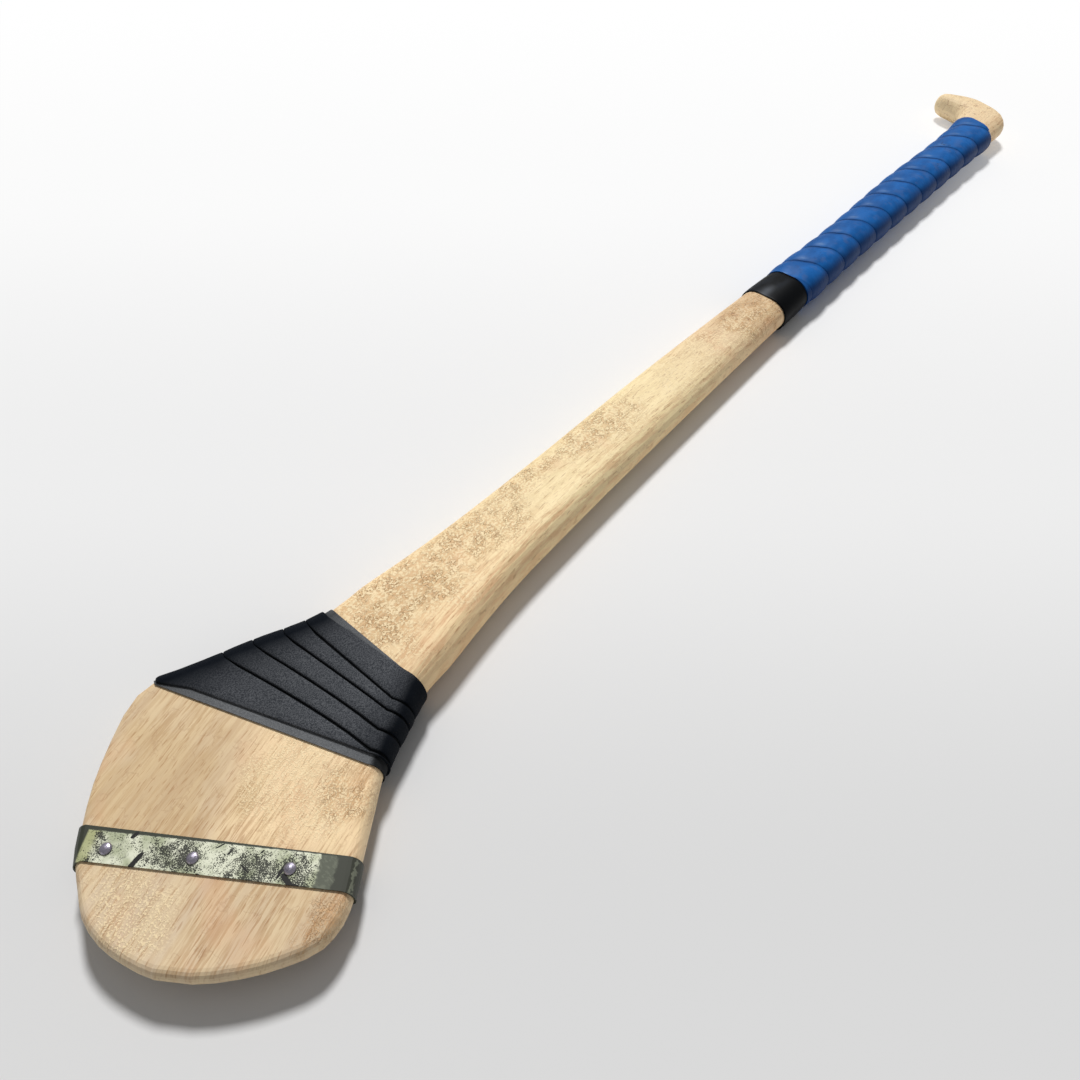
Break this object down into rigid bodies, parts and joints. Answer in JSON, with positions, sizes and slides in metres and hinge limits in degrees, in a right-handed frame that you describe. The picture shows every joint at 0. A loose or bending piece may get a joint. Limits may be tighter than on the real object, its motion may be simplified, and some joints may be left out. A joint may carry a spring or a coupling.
{
  "type": "hurley",
  "caption": "Ash hurling stick lying on its back: broad bent blade with a steel toe band, taped shoulder, slim shaft, wound handle grip and a hooked butt.",
  "frame": {"origin": "centre of the bounding box's underside, on the table below the middle of the stick", "axes": "+X runs from the toe of the blade to the butt of the handle, +Y is the side of the blade's heel, +Z looks up off the blade's front face"},
  "size_m": [0.8876, 0.1266, 0.0237],
  "materials": {
    "ash": "oiled, worn",
    "band_steel": "chipped pale green paint",
    "tack_steel": "domed, bright",
    "underwrap_cloth": "grey cloth",
    "shoulder_cloth": "charcoal cloth tape",
    "grip_rubber": "blue, satin",
    "finishing_plastic": "black, glossy"
  },
  "bodies": {
    "root": {"ash_stick": "ash", "toe_band": "band_steel", "front_tack_1": "tack_steel", "front_tack_2": "tack_steel", "front_tack_3": "tack_steel", "back_tack_1": "tack_steel", "back_tack_2": "tack_steel", "back_tack_3": "tack_steel", "shoulder_underwrap": "underwrap_cloth", "shoulder_tape": "shoulder_cloth", "grip": "grip_rubber", "finishing_tape": "finishing_plastic"}
  },
  "joints": []
}
